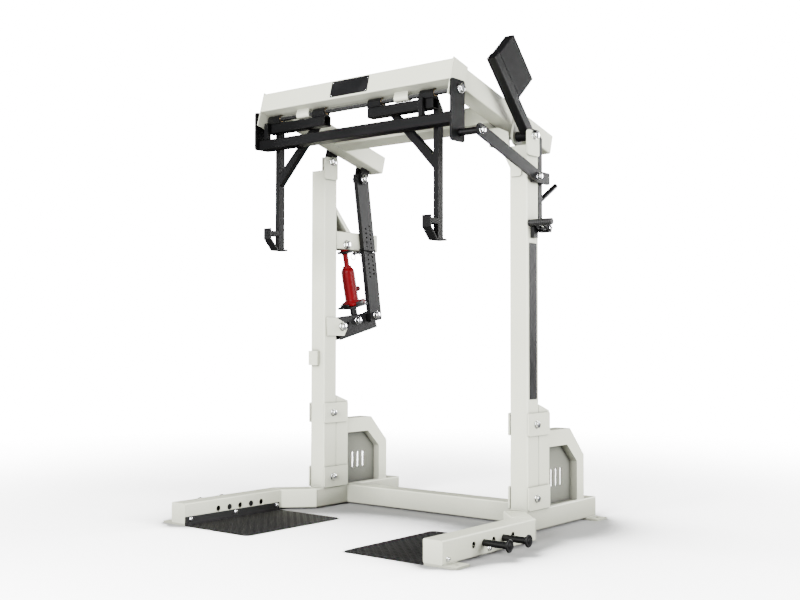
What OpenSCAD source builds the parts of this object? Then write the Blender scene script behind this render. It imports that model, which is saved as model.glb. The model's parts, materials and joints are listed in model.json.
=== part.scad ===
// Monolift: a rack whose two hooks hang from a shaft on a tilting top frame.
// A jack and a drilled link set the height, and a weighted lever swings the hooks clear.
// Millimetres, +Z up, +Y to the rear, origin on the floor in the middle of the base.

/* [Tube stock] */
// Outer size of the square frame tube
tube = 101.6; // [90:0.1:110]
// Wall of the square frame tube
wall = 4.8; // [3:0.1:8]
// Corner radius of the square frame tube
tube_r = 7; // [5:0.5:12]
// Outer size of the hook cross tubes
hook_tube = 50.8; // [46:0.1:56]
// Wall of the small tubes
small_wall = 4; // [2:0.5:6]
// Corner radius of the small tubes
small_r = 4; // [3:0.5:6]

/* [Base] */
// Overall length of the base, front to rear
base_len = 1540; // [1450:10:1700]
// Half the overall width over the front feet
foot_out = 853; // [820:1:900]
// Length of a foot's straight front, to the middle of its bend
foot_straight = 699; // [640:1:740]
// Thickness of the plates that the base stands on
anchor_th = 10; // [6:1:14]
// How far the anchor plates stand out beside the tubes
anchor_out = 68; // [55:1:80]
// Diameter of the anchor holes
anchor_hole = 18; // [12:1:22]
// Front face of the base cross tube, behind the upright's front face
cross_back = 200; // [190:1:300]

/* [Tread plates] */
// Thickness of the tread plates
tread_th = 5; // [4:0.5:8]
// Width of a tread plate
tread_w = 448; // [380:1:500]
// Length of a tread plate
tread_len = 660; // [560:1:680]
// Height of the upturned flange
tread_flange = 45; // [40:1:60]
// Diameter of the band pegs
peg_d = 30; // [24:1:32]
// Reach of the band pegs beyond the foot
peg_out = 127; // [100:1:140]
// Distance between the holes along the foot
peg_pitch = 76.2; // [70:0.1:80]

/* [Uprights] */
// Outer face of an upright from the middle plane
post_out = 715; // [700:1:740]
// Front face of an upright
post_y = 104; // [90:1:120]
// Top of an upright
post_top = 1883.5; // [1700:0.5:2000]
// Height of the stub post behind an upright
stub_top = 621; // [600:1:660]
// Thickness of the clamp plates
clamp_th = 10; // [8:1:12]
// Diameter of the clamp bolts
clamp_bolt = 19; // [16:1:22]
// Thickness of the hoop panels
panel_th = 5; // [4:0.5:8]
// Height of the hoop's top above the floor
hoop_top = 485; // [470:1:520]

/* [Top frame] */
// Height of the pivot above the top of the upright
pivot_rise = 53.5; // [52:0.5:60]
// Pivot behind the front face of the upright
pivot_back = 53; // [48:1:56]
// Tilt of the top frame as it stands
frame_tilt = 14.8; // [10:0.1:18]
// Front face of the front beam ahead of the pivot
beam_front = 583; // [560:1:600]
// Underside of the arms above the pivot
arm_rise = 47; // [46:1:52]
// Reach of the arms behind the pivot
arm_back = 330; // [310:1:340]
// Diameter of the pivot bolts
pivot_bolt = 25; // [22:0.5:26]
// Thickness of the pivot ears
ear_th = 10; // [8:1:12]
// Thickness of the lugs on the arms
lug_th = 12; // [10:1:14]

/* [Shaft and hooks] */
// Diameter of the hook shaft
shaft_d = 28; // [25:1:30]
// Shaft ahead of the pivot, along the frame
shaft_fwd = 513; // [500:1:525]
// Shaft below the underside of the front beam
shaft_drop = 22; // [21.5:0.5:24]
// Length of a bearing block
block_len = 82; // [70:1:90]
// Length of a hook's cross tube
hook_span = 401; // [370:1:410]
// Outer end of the left hook's cross tube, from the centre plane
left_hook_end = 602; // [595:0.5:610]
// Outer end of the right hook's cross tube, from the centre plane
right_hook_end = 487; // [460:0.5:510]
// Width of the upright bar of a hook
hook_bar_w = 28; // [25:1:32]
// Depth of the upright bar of a hook
hook_bar_d = 40; // [35:1:44]
// Bottom of the hooks below the shaft
hook_drop = 690; // [640:1:720]
// Free space between the lip and the bar
hook_throat = 66; // [55:1:70]
// Width of the hook plate
jaw_w = 48; // [44:1:52]
// Thickness of the hook plate
jaw_th = 9; // [8:1:12]
// Height of the lip above the hook's bottom
lip_rise = 115; // [105:1:130]

/* [Release frame] */
// Thickness of the release frame's side plates
side_th = 10; // [8:1:12]
// Diameter of the rod that is gripped to swing the lever
handle_d = 25; // [20:1:30]
// Distance from each pivot down to the parallel link
crank = 205; // [200:1:215]
// Height of the parallel link bar
link_h = 60; // [50:1:64]
// Thickness of the parallel link bar
link_th = 10; // [8:1:12]
// Length of the counterweight arm from the pivot
weight_arm = 455; // [430:1:470]
// Forward lean of the counterweight arm
weight_lean = 43; // [40:1:46]
// Length of the counterweight
weight_len = 250; // [200:1:260]
// Width of the counterweight
weight_w = 165; // [120:1:170]

/* [Jack and lift link] */
// Length of the lift link between its pivots
lift_link_len = 794; // [770:1:800]
// Lean of the lift link
lift_link_lean = 8.9; // [8:0.1:10]
// Width of the lift link
lift_link_w = 100; // [80:1:104]
// Thickness of the lift link
lift_link_th = 28; // [20:1:30]
// Distance between the holes of a column
hole_pitch = 25.4; // [24:0.1:28]
// Diameter of the hitch pin
hitch_d = 12; // [10:0.5:16]
// Length of the lift lever between its end pivots
lift_lever_len = 282; // [270:1:290]
// Rise of the lift lever
lift_lever_rise = 14.4; // [12:0.1:16]
// Jack pivot along the lift lever
jack_on_lever = 148; // [140:1:155]
// Diameter of the bolts at the ends of the lift link
lift_link_bolt_d = 25; // [20:0.5:26]
// Width over the two plates of the lift lever
lever_w = 40; // [36:1:60]
// Length of the bracket that the jack hangs from
bracket_len = 355; // [320:1:370]
// Diameter of the jack's body
jack_d = 78; // [70:1:84]
// Diameter of the jack's ram
ram_d = 31; // [25:1:36]

/* [Hidden] */
$fn = 64;

white = [0.89, 0.90, 0.87];
black = [0.10, 0.10, 0.10];
steel = [0.72, 0.73, 0.75];
bronze = [0.62, 0.47, 0.25];
red = [0.70, 0.05, 0.06];

// Running clearance of a bolt or shaft in its hole, on the radius
fit = 0.05;
// Gap between parts that pass each other
gap = 1;
// Gap left between a block and the tube that it is welded to
weld_gap = 0.3;
// Overshoot of a cut beyond the face that it opens
over = 1;

half_tube = tube / 2;
post_in = post_out - tube;
post_x = post_out - half_tube;
foot_x = foot_out - half_tube;
base_top = anchor_th + tube;
base_mid = anchor_th + half_tube;
front_y = -base_len / 2;
rear_y = base_len / 2;
bend_y = front_y + foot_straight;
bend2_y = bend_y + foot_x - post_x;
mitre = 22.5;
stub_y = post_y + tube;
stub_rear = stub_y + tube;

pivot_y = post_y + pivot_back;
pivot_z = post_top + pivot_rise;
arm_out = post_in + gap;
arm_in = arm_out - tube;
lug_out = arm_out + lug_th;
beam_rear = -beam_front + tube;
end_plate_th = 6;
side_play = 0.6;
side_in = arm_out + end_plate_th + side_play;
side_out = side_in + side_th;
left_spacer = 19;
left_side_in = side_in + left_spacer;
left_side_out = left_side_in + side_th;

// A point of the top frame, given along and square to its arms
function on_frame(s, t) = [
  pivot_y + s * cos(frame_tilt) + t * sin(frame_tilt),
  pivot_z - s * sin(frame_tilt) + t * cos(frame_tilt)
];
shaft_t = arm_rise - shaft_drop;
shaft = on_frame(-shaft_fwd, shaft_t);
shaft_y = shaft[0];
shaft_z = shaft[1];

block_half = 22;
block_top_r = shaft_drop - 2;
block_drop = 25;
hook_bush_wall = 2.5;
cross_tube_top = -block_drop;
left_hook_x = hook_span / 2 - left_hook_end;
right_hook_x = right_hook_end - hook_span / 2;
bar_front = 31;
crossbar_front = -45;
crossbar_rear = bar_front - gap;
crossbar_top = -110;
crossbar_h = hook_tube;

link_in = post_out + 21.4;
link_out = link_in + link_th;
front_link_z = shaft_z - crank;
rear_link_z = pivot_z - crank;

lift_pin_s = 249;
lift_pin_t = -13;
lift_top = on_frame(lift_pin_s, lift_pin_t);
link_u = [sin(lift_link_lean), -cos(lift_link_lean)];
link_v = [cos(lift_link_lean), sin(lift_link_lean)];
lift_bottom = lift_top + lift_link_len * link_u;
lever_u = [cos(lift_lever_rise), sin(lift_lever_rise)];
lift_base = lift_bottom - lift_lever_len * lever_u;
jack_foot = lift_base + jack_on_lever * lever_u;
lift_link_x = -(post_in - gap);
lever_in = -(post_in + gap);
lever_out = lever_in - lever_w;
jack_x = (lever_in + lever_out) / 2;
lever_plate_th = 10;
// Extra clearance, on the radius, of the two open pivots of the lift linkage
open_play = 2.5;
lift_open_play = 4.5;

// Underside of the jack bracket above the lift lever's pivot
bracket_rise = 441.7454;
bracket_z = lift_base[1] + bracket_rise;
jack_top = [post_y + 183.5, bracket_z + 27];
jack_span = norm(jack_foot - jack_top);
jack_lean = atan2(jack_foot[0] - jack_top[0], jack_top[1] - jack_foot[1]);
jack_base_h = 92;
jack_body_h = 216;

column_off = 18;
hole_rows = 12;
pin_row = 6;
pin_z = bracket_z - hitch_d / 2 - 0.3;
pin_along = (lift_top[1] - pin_z + column_off * link_v[1]) / -link_u[1];
pin_y = lift_top[0] + pin_along * link_u[0] + column_off * link_v[0];

// Plain helpers for sections, plates and bolts

module rounded_box(w, h, r) {
  square([w - 2 * r, h], center = true);
  square([w, h - 2 * r], center = true);
  for (x = [-1, 1], y = [-1, 1])
    translate([x * (w / 2 - r), y * (h / 2 - r)]) circle(r = r);
}

module tube_section(w, h, r, t) {
  difference() {
    rounded_box(w, h, r);
    rounded_box(w - 2 * t, h - 2 * t, max(r - t, 1));
  }
}

// Extrudes an outline drawn in Y and Z from x0 along +X
module along_x(x0, len) {
  translate([x0, 0, 0]) rotate([90, 0, 90]) linear_extrude(len) children();
}

// Extrudes an outline drawn in X and Z from y0 along +Y
module along_y(y0, len) {
  translate([0, y0 + len, 0]) rotate([90, 0, 0]) linear_extrude(len) children();
}

module rod_x(x0, x1, y, z, d) {
  translate([x0, y, z]) rotate([0, 90, 0]) cylinder(d = d, h = x1 - x0);
}

module both_sides() {
  children();
  mirror([1, 0, 0]) children();
}

// Hexagon bolt along X: its head and washer outside x1, its nut and washer outside x0
module bolt_x(x0, x1, y, z, d) {
  washer = d * 0.14;
  head = d * 0.62;
  nut = d * 0.8;
  rod_x(x0 - washer - nut - d * 0.15, x1 + washer, y, z, d - 2 * fit);
  rod_x(x0 - washer, x0, y, z, d * 1.95);
  rod_x(x1, x1 + washer, y, z, d * 1.95);
  translate([x1 + washer, y, z]) rotate([0, 90, 0]) rotate([0, 0, 30])
    cylinder(d = d * 1.73, h = head, $fn = 6);
  translate([x0 - washer - nut, y, z]) rotate([0, 90, 0]) rotate([0, 0, 30])
    cylinder(d = d * 1.73, h = nut, $fn = 6);
}

// Puts its children on the top frame, drawn along and square to the arms
module on_top_frame() {
  translate([0, pivot_y, pivot_z]) rotate([-frame_tilt, 0, 0]) children();
}

// Base

module foot_tube() {
  difference() {
    translate([foot_x, 0, base_mid]) along_y(front_y, bend_y - front_y + tube)
      rounded_box(tube, tube, tube_r);
    translate([foot_x, 0, base_mid]) along_y(front_y + wall, bend_y - front_y + 2 * tube)
      rounded_box(tube - 2 * wall, tube - 2 * wall, tube_r - wall);
    translate([foot_x, bend_y, 0]) rotate([0, 0, mitre])
      translate([-2 * tube, 0, 0]) cube([4 * tube, 3 * tube, 2 * tube]);
    for (i = [0:4])
      rod_x(foot_x - tube, foot_x + tube, peg_y(i), peg_z, peg_d + 2 * fit);
    for (y = tread_bolts)
      rod_x(foot_x - tube, foot_x + tube, front_y + y, tread_bolt_z, tread_bolt + 2 * fit);
  }
}

// Place of a peg hole, counted from the front
function peg_y(i) = front_y + 224 + i * peg_pitch;

module bend_tube() {
  span = norm([foot_x - post_x, bend2_y - bend_y]);
  difference() {
    translate([(foot_x + post_x) / 2, (bend_y + bend2_y) / 2, base_mid]) rotate([0, 0, 45])
      translate([0, -span / 2 - tube, 0]) along_y(0, span + 2 * tube)
        tube_section(tube, tube, tube_r, wall);
    translate([foot_x, bend_y, 0]) rotate([0, 0, mitre])
      translate([-2 * tube, -3 * tube, 0]) cube([4 * tube, 3 * tube, 2 * tube]);
    translate([post_x, bend2_y, 0]) rotate([0, 0, mitre])
      translate([-2 * tube, 0, 0]) cube([4 * tube, 3 * tube, 2 * tube]);
  }
}

module rear_tube() {
  difference() {
    translate([post_x, 0, base_mid]) along_y(bend2_y - tube, rear_y - bend2_y + tube)
      rounded_box(tube, tube, tube_r);
    translate([post_x, 0, base_mid]) along_y(bend2_y - 2 * tube, rear_y - bend2_y + 2 * tube - wall)
      rounded_box(tube - 2 * wall, tube - 2 * wall, tube_r - wall);
    translate([post_x, bend2_y, 0]) rotate([0, 0, mitre])
      translate([-2 * tube, -3 * tube, 0]) cube([4 * tube, 3 * tube, 2 * tube]);
  }
}

module left_foot_tube() { color(white) mirror([1, 0, 0]) foot_tube(); }
module right_foot_tube() { color(white) foot_tube(); }
module bend_tubes() { color(white) both_sides() bend_tube(); }
module rear_tubes() { color(white) both_sides() rear_tube(); }

module base_cross_tube() {
  color(white) translate([0, post_y + cross_back + half_tube, base_mid])
    along_x(-post_in, 2 * post_in) tube_section(tube, tube, tube_r, wall);
}

module anchor_plate(x0, x1, y0, y1) {
  difference() {
    translate([(x0 + x1) / 2, (y0 + y1) / 2, 0]) linear_extrude(anchor_th)
      rounded_box(x1 - x0, y1 - y0, 8);
    translate([x1 - anchor_out / 2, (y0 + y1) / 2, -over])
      cylinder(d = anchor_hole, h = anchor_th + 2 * over);
  }
}

anchor_len = 102;
module anchor_plates() {
  color(white) both_sides() {
    anchor_plate(foot_out - tube, foot_out + anchor_out, front_y, front_y + anchor_len);
    anchor_plate(post_in, post_out + anchor_out, rear_y - anchor_len, rear_y);
  }
}

// Tread plates, their bolts and the band pegs

tread_front = front_y;
tread_bolts = [35, tread_len / 2 + 9, tread_len - 18];
tread_bolt_z = 31;
peg_z = 62;
peg_head_d = 57;
peg_head_th = 7;
tread_bolt = 12;

module tread_plate() {
  inner = foot_out - tube - tread_w;
  outer = foot_out - tube - gap / 2;
  difference() {
    union() {
      translate([inner, tread_front, 0]) cube([outer - inner, tread_len, tread_th]);
      translate([outer - tread_th, tread_front, 0]) cube([tread_th, tread_len, tread_flange]);
    }
    for (y = [tread_front, tread_front + tread_len])
      translate([inner, y, -over]) rounding_cut(25, tread_th + 2 * over, y == tread_front);
    for (y = tread_bolts)
      rod_x(outer - 2 * tread_th, outer + over, tread_front + y, tread_bolt_z, tread_bolt + 2 * fit);
  }
}

// Waste outside a quarter round at a plate's inner corner
module rounding_cut(r, h, front) {
  mirror([0, front ? 0 : 1, 0]) difference() {
    translate([-over, -over, 0]) cube([r + over, r + over, h]);
    translate([r, r, -over]) cylinder(r = r, h = h + 2 * over);
  }
}

module tread_plates() { color(black) both_sides() tread_plate(); }

module tread_plate_bolts() {
  face = foot_out - tube - gap / 2 - tread_th;
  color(steel) both_sides() for (y = tread_bolts) {
    rod_x(face - 3, face, tread_front + y, tread_bolt_z, 22);
    rod_x(face - 6, face - 3, tread_front + y, tread_bolt_z, 16);
    rod_x(face, foot_out + 12, tread_front + y, tread_bolt_z, tread_bolt);
    rod_x(foot_out, foot_out + 2, tread_front + y, tread_bolt_z, 22);
    translate([foot_out + 2, tread_front + y, tread_bolt_z]) rotate([0, 90, 0])
      cylinder(d = 19, h = 8, $fn = 6);
  }
}

module band_pegs() {
  color(black) both_sides() for (i = [1, 3]) {
    rod_x(foot_out - tube - 1.5, foot_out + peg_out, peg_y(i), peg_z, peg_d);
    rod_x(foot_out + peg_out, foot_out + peg_out + peg_head_th, peg_y(i), peg_z, peg_head_d);
  }
}

// Uprights, stub posts, clamps and hoops

clamp_bolt_y = post_y + 65;
clamp_zs = [167, 524];
clamp_low_top = 225;
clamp_high_low = 470;
clamp_high_top = 580;

module upright() {
  difference() {
    translate([post_x, post_y + half_tube, base_top]) linear_extrude(post_top - base_top)
      rounded_box(tube, tube, tube_r);
    translate([post_x, post_y + half_tube, base_top - over])
      linear_extrude(post_top - base_top - wall + over)
        rounded_box(tube - 2 * wall, tube - 2 * wall, tube_r - wall);
    for (z = clamp_zs)
      rod_x(post_in - over, post_out + over, clamp_bolt_y, z, clamp_bolt + 2 * fit);
  }
}

module left_upright() {
  color(white) {
    mirror([1, 0, 0]) upright();
    translate([-post_out, post_y - 20, 790]) cube([65, 20, 80]);
  }
}

module right_upright() { color(white) upright(); }

module stub_post() {
  chamfer = 36;
  difference() {
    translate([post_x, stub_y + half_tube, base_top]) linear_extrude(stub_top - base_top)
      rounded_box(tube, tube, tube_r);
    translate([post_x, stub_y + half_tube, base_top - over])
      linear_extrude(stub_top - base_top - wall - chamfer)
        rounded_box(tube - 2 * wall, tube - 2 * wall, tube_r - wall);
    translate([post_in - over, stub_y, stub_top]) rotate([-atan(chamfer / tube), 0, 0])
      cube([tube + 2 * over, 2 * tube, tube]);
  }
}

module stub_posts() { color(white) both_sides() stub_post(); }

clamp_len = 193;
module clamp_plate(z0, z1) {
  difference() {
    translate([0, post_y - 3 + clamp_len / 2, (z0 + z1) / 2]) along_x(0, clamp_th)
      rounded_box(clamp_len, z1 - z0, 8);
    for (z = clamp_zs)
      rod_x(-over, clamp_th + over, clamp_bolt_y, z, clamp_bolt + 2 * fit);
  }
}

module clamp_plates() {
  color(white) both_sides() for (x = [post_out, post_in - clamp_th]) {
    translate([x, 0, 0]) clamp_plate(base_top + 1, clamp_low_top);
    translate([x, 0, 0]) clamp_plate(clamp_high_low, clamp_high_top);
  }
}

module clamp_bolts() {
  color(steel) for (z = clamp_zs) {
    bolt_x(post_in - clamp_th, post_out + clamp_th, clamp_bolt_y, z, clamp_bolt);
    mirror([1, 0, 0])
      bolt_x(post_in - clamp_th, post_out + clamp_th, clamp_bolt_y, z, clamp_bolt);
  }
}

hoop_depth = 84;
hoop_bar = 70;
hoop_rear = post_y + 557;
hoop_step = 140;
hoop_fall = 145;

hoop_top_bar = 82;

// Outline of the hoop in Y and Z, drawn in from its outside by d and at the top by t
module hoop_outline(d, t, y0, z0) {
  k = d * tan(mitre);
  polygon([
    [y0, z0], [y0, hoop_top - t], [hoop_rear - hoop_step - k, hoop_top - t],
    [hoop_rear - d, hoop_top - hoop_fall - k], [hoop_rear - d, z0]
  ]);
}

module rear_hoop() {
  along_x(post_x - hoop_depth / 2, hoop_depth) difference() {
    hoop_outline(0, 0, stub_rear, base_top);
    hoop_outline(hoop_bar, hoop_top_bar, stub_rear - over, base_top - over);
  }
}

module rear_hoops() { color(white) both_sides() rear_hoop(); }

// Flat panel inside the hoop, with three plain slots
module hoop_panel() {
  slot_w = 16;
  slot_h = 90;
  along_x(post_x - panel_th / 2, panel_th) difference() {
    hoop_outline(hoop_bar + gap / 2, hoop_top_bar + gap / 2, stub_rear + gap, base_top);
    for (i = [-1:1]) translate([stub_rear + 140 + i * 45, 240])
      rounded_box(slot_w, slot_h, slot_w / 2 - 0.5);
  }
}

module hoop_panels() { color(white) both_sides() hoop_panel(); }

// Pivot ears, bracket and bolts

ear_low = post_top - 51;
ear_front = post_y - 8;
ear_rear = post_y + 97;
ear_high = pivot_z + 20;

module ear_outline(z0) {
  difference() {
    translate([(ear_front + ear_rear) / 2, (z0 + ear_high) / 2])
      rounded_box(ear_rear - ear_front, ear_high - z0, 14);
    translate([pivot_y, pivot_z]) circle(d = pivot_bolt + 2 * fit);
  }
}

standing_ear_x = -(lug_out + gap + ear_th);
module pivot_ears() {
  color(white) {
    along_x(-post_in, ear_th) ear_outline(ear_low);
    along_x(standing_ear_x, ear_th) intersection() {
      ear_outline(post_top - 20);
      translate([ear_front + 8, post_top]) square([ear_rear, tube]);
    }
    along_x(post_out, ear_th) ear_outline(ear_low);
  }
}

flange_x = arm_in - gap - 2 - ear_th;
bracket_foot = 1732;
module pivot_bracket() {
  plate_th = 8;
  foot = bracket_foot;
  top = on_frame(-65, arm_rise)[1] - 16;
  color(white) {
    along_y(post_y - plate_th, plate_th) polygon([
      [post_in + 14, foot], [post_out - 37, foot], [post_out - 29, foot + 8],
      [post_out - 29, foot + 58], [post_in + 6, foot + 138], [post_in - 2, top - 28],
      [post_in - 62, top], [flange_x, top], [flange_x, top - 20], [post_in - 19, foot + 95],
      [post_in + 8, foot + 44]
    ]);
    along_x(flange_x, ear_th) difference() {
      union() {
        translate([pivot_y, pivot_z]) circle(r = 45);
        translate([post_y - plate_th, pivot_z - 45]) square([pivot_back + plate_th, 90]);
      }
      translate([pivot_y, pivot_z]) circle(d = pivot_bolt + 2 * fit);
    }
  }
}

module pivot_bolts() {
  color(steel) {
    bolt_x(standing_ear_x, -post_in + ear_th, pivot_y, pivot_z, pivot_bolt);
    bolt_x(flange_x, post_out + ear_th, pivot_y, pivot_z, pivot_bolt);
    bolt_x(rear_ear_x, -post_in + ear_th, lift_base[0], lift_base[1], pivot_bolt);
    bolt_x(-post_out, -post_in, jack_top[0], jack_top[1], pivot_bolt);
    rod_x(post_out, latch_out + 10, latch_y, latch_z, latch_bolt);
    translate([latch_in + latch_cheek + gap, latch_y, latch_z]) rotate([0, 90, 0])
      cylinder(d = 30, h = latch_out - latch_in - 2 * latch_cheek - 2 * gap, $fn = 6);
    rod_x(latch_out + gap, latch_out + 5, latch_y, latch_z, 26);
  }
}

strip_low = 647;
strip_len = 759;
strip_w = 68;
strip_th = 1.5;
module upright_strip() {
  color(black) translate([post_out, post_y + half_tube - 35, strip_low])
    cube([strip_th, strip_w, strip_len]);
}

// Jack bracket, lever ears and the latch bracket on the uprights

bracket_h = 100;
ram_lug_w = 28;
ram_slot = ram_lug_w + 2.6;
strut_w = 100;
module jack_bracket() {
  top = bracket_z + bracket_h;
  color(white) difference() {
    union() {
      translate([-post_x, 0, bracket_z + bracket_h / 2]) difference() {
        along_y(stub_y, bracket_len) rounded_box(tube, bracket_h, tube_r);
        along_y(stub_y - over, bracket_len - wall + over)
          rounded_box(tube - 2 * wall, bracket_h - 2 * wall, tube_r - wall);
      }
      along_x(-post_x - strut_w / 2, strut_w) polygon([
        [stub_y, top + 94], [stub_y, top + 131], [stub_y + 120, top], [stub_y + 86, top]
      ]);
    }
    rod_x(-post_out - over, -post_in + over, jack_top[0], jack_top[1], pivot_bolt + 2 * fit);
    translate([jack_x - ram_slot / 2, jack_top[0] - 45, bracket_z - over])
      cube([ram_slot, 100, wall + 2 * over]);
  }
}

module lever_ear_outline() {
  y = stub_y;
  z = lift_base[1];
  polygon([
    [y - 88, z + 52], [y - 9, z + 50], [y + 76, z + 14], [y + 78, z - 14], [y + 54, z - 51],
    [y - 84, z - 51]
  ]);
}

// The inner ear lies on the upright's side, the other one stands on its rear face
rear_ear_x = lever_out - gap - ear_th;
module lift_lever_ears() {
  color(white) for (x = [-post_in, rear_ear_x]) along_x(x, ear_th) difference() {
    intersection() {
      lever_ear_outline();
      translate([x < -post_in ? stub_y : post_y, lift_base[1] - tube]) square(3 * tube);
    }
    translate(lift_base) circle(d = pivot_bolt + 2 * fit);
  }
}

latch_y = stub_y - 19;
latch_z = 1478;
latch_bolt = 16;
latch_block = [20, 38, 52];
latch_in = post_out + latch_block[0] + gap;
latch_out = latch_in + 57;
latch_cheek = 8;
module latch_bracket() {
  lug_th = 8;
  color(black) difference() {
    union() {
      translate([post_out, post_y + 30, latch_z - 46]) cube(latch_block);
      translate([post_out, post_y + 46, latch_z - 13]) cube([lug_th, 54, 26]);
    }
    rod_x(post_out - over, post_out + lug_th + over, latch_y, latch_z, latch_bolt + 2 * fit);
  }
}

// Jack: the ram hangs from the bracket, the body slides along it

// Puts its children on the jack's line, z counted up from the foot, -Y of the drawing to the rear
module on_jack() {
  translate([jack_x, jack_foot[0], jack_foot[1]]) rotate([jack_lean, 0, 0]) rotate([0, 0, 180])
    children();
}

ram_fit = 0.1;
jack_lug_w = lever_w - 2 * lever_plate_th - gap;
module jack_ram() {
  color(red) difference() {
    on_jack() {
      translate([0, 0, jack_base_h + 40]) cylinder(d = ram_d, h = jack_span - jack_base_h - 40 - 40);
      translate([0, 0, jack_span - 50]) cylinder(d = 60, h = 12);
      translate([-ram_lug_w / 2, -20, jack_span - 40]) cube([ram_lug_w, 40, 40]);
      translate([-ram_lug_w / 2, 0, jack_span]) rotate([0, 90, 0]) cylinder(r = 20, h = ram_lug_w);
    }
    rod_x(jack_x - ram_lug_w, jack_x + ram_lug_w, jack_top[0], jack_top[1], pivot_bolt + 2 * fit);
  }
}

module jack_body() {
  color(red) on_jack() difference() {
    union() {
      translate([0, 0, jack_base_h]) cylinder(d = jack_d, h = jack_body_h);
      translate([0, 0, jack_base_h + jack_body_h]) cylinder(d = jack_d - 16, h = 14);
      translate([-45, -jack_d / 2 - 30, jack_base_h]) cube([90, jack_d + 40, 26]);
    }
    translate([0, 0, jack_base_h + 36]) cylinder(d = ram_d + 2 * ram_fit, h = jack_body_h);
    translate([28, -jack_d / 2 - 16, jack_base_h + 12]) cylinder(d = 20 + 2 * ram_fit, h = 20);
    translate([-28, -jack_d / 2 - 31, jack_base_h + 13]) rotate([-90, 0, 0])
      cylinder(d = 12 + 2 * ram_fit, h = 24);
  }
}

module jack_base() {
  color(black) difference() {
    on_jack() {
      translate([-50, -76, jack_base_h - 12]) cube([100, 152, 12]);
      translate([-jack_lug_w / 2, -20, 14]) cube([jack_lug_w, 40, jack_base_h - 26]);
      translate([-jack_lug_w / 2, 0, 0]) rotate([0, 90, 0]) cylinder(r = 22, h = jack_lug_w);
      for (x = [-50, 45.3]) translate([x, -40, jack_base_h]) cube([4.7, 60, 20]);
    }
    rod_x(jack_x - jack_lug_w, jack_x + jack_lug_w, jack_foot[0], jack_foot[1],
      lift_link_bolt_d + 2 * open_play);
  }
}

module pump_socket() {
  color(red) on_jack() translate([28, -jack_d / 2 - 16, jack_base_h + 13]) {
    cylinder(d = 20, h = 58);
    translate([0, 0, 66]) rotate([90, 0, 0]) translate([0, 0, -14]) difference() {
      cylinder(d = 30, h = 62);
      translate([0, 0, 20]) cylinder(d = 22, h = 62);
    }
  }
}

module release_valve() {
  color(steel) on_jack() translate([-28, -jack_d / 2 - 30.5, jack_base_h + 13]) rotate([90, 0, 0]) {
    translate([0, 0, -20]) cylinder(d = 12, h = 26);
    translate([0, 0, 4]) rotate([0, 0, 45]) cylinder(d = 20, h = 6, $fn = 4);
  }
}

// Lift lever, link, bolts and hitch pin

module lift_lever() {
  z = lift_base[1];
  y = lift_base[0];
  color(black) for (x = [lever_in - lever_plate_th, lever_out])
    along_x(x, lever_plate_th) difference() {
      polygon([
        [y - 34, z + 50], [y + 252, z + 83], [y + 285, z + 95], [y + 320, z + 2], [y - 2, z - 76]
      ]);
      translate(lift_base) circle(d = pivot_bolt + 2 * fit);
      translate(jack_foot) circle(d = lift_link_bolt_d + 2 * fit);
      translate(lift_bottom) circle(d = lift_link_bolt_d + 2 * fit);
      translate(lift_base + [62, 21]) circle(d = 16);
    }
}

module lift_link_bolt() {
  color(steel) {
    bolt_x(lever_out, lift_link_x + lift_link_th, lift_bottom[0], lift_bottom[1], lift_link_bolt_d);
    bolt_x(lever_out, lever_in, jack_foot[0], jack_foot[1], lift_link_bolt_d);
  }
}

link_top_reach = 34;
link_low_reach = 32;
module lift_link() {
  color(black) along_x(lift_link_x, lift_link_th) difference() {
    translate(lift_top) rotate(lift_link_lean)
      translate([0, (link_top_reach - link_low_reach - lift_link_len) / 2])
        rounded_box(lift_link_w, lift_link_len + link_top_reach + link_low_reach, 10);
    translate(lift_top) circle(d = lift_link_bolt_d + 2 * fit);
    translate(lift_bottom) circle(r = lift_link_bolt_d / 2 + lift_open_play);
    for (i = [0:hole_rows - 1], c = [-1, 1])
      translate(lift_top + (pin_along + (i - pin_row + (c < 0 ? 0.5 : 0)) * hole_pitch) * link_u
        + c * column_off * link_v) circle(d = hitch_d + 2 * fit);
  }
}

module link_top_bolt() {
  color(steel) bolt_x(-arm_out - ear_th, lift_link_x + lift_link_th + gap + ear_th,
    lift_top[0], lift_top[1], lift_link_bolt_d);
}

// Pin with a pull ring at its outer end, so it draws out sideways
module hitch_pin() {
  inner = lift_link_x + lift_link_th;
  color(steel) {
    rod_x(-post_out - 18, inner + 10, pin_y, pin_z, hitch_d);
    rod_x(inner + 10, inner + 13, pin_y, pin_z, hitch_d - 4);
    rod_x(-post_out - 8, -post_out - 2, pin_y, pin_z, 24);
    translate([-post_out - 14, pin_y, pin_z - 19]) rotate([0, 90, 0])
      rotate_extrude() translate([19, 0]) circle(r = 2);
  }
}

// Tilting top frame

module front_beam() {
  color(white) on_top_frame() translate([0, -beam_front + half_tube, arm_rise + half_tube])
    along_x(-arm_out, 2 * arm_out) tube_section(tube, tube, tube_r, wall);
}

// Square tube running along the frame, closed at its rear end
module frame_arm() {
  on_top_frame() translate([arm_out - half_tube, 0, arm_rise + half_tube]) difference() {
    along_y(beam_rear, arm_back - beam_rear) rounded_box(tube, tube, tube_r);
    along_y(beam_rear - over, arm_back - beam_rear - wall + over)
      rounded_box(tube - 2 * wall, tube - 2 * wall, tube_r - wall);
  }
}

module frame_arms() { color(white) both_sides() frame_arm(); }

module frame_crossmember() {
  color(white) on_top_frame() translate([0, -2 - half_tube, arm_rise + half_tube])
    along_x(-arm_in, 2 * arm_in) tube_section(tube, tube, tube_r, wall);
}

end_plate_low = -30;
module beam_end_plates() {
  color(white) on_top_frame() both_sides() along_x(arm_out, end_plate_th) difference() {
    translate([-beam_front, end_plate_low])
      square([tube + 13, arm_rise + tube + 5 - end_plate_low]);
    translate([-shaft_fwd, shaft_t]) circle(d = shaft_d + 2 * fit);
  }
}

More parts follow.
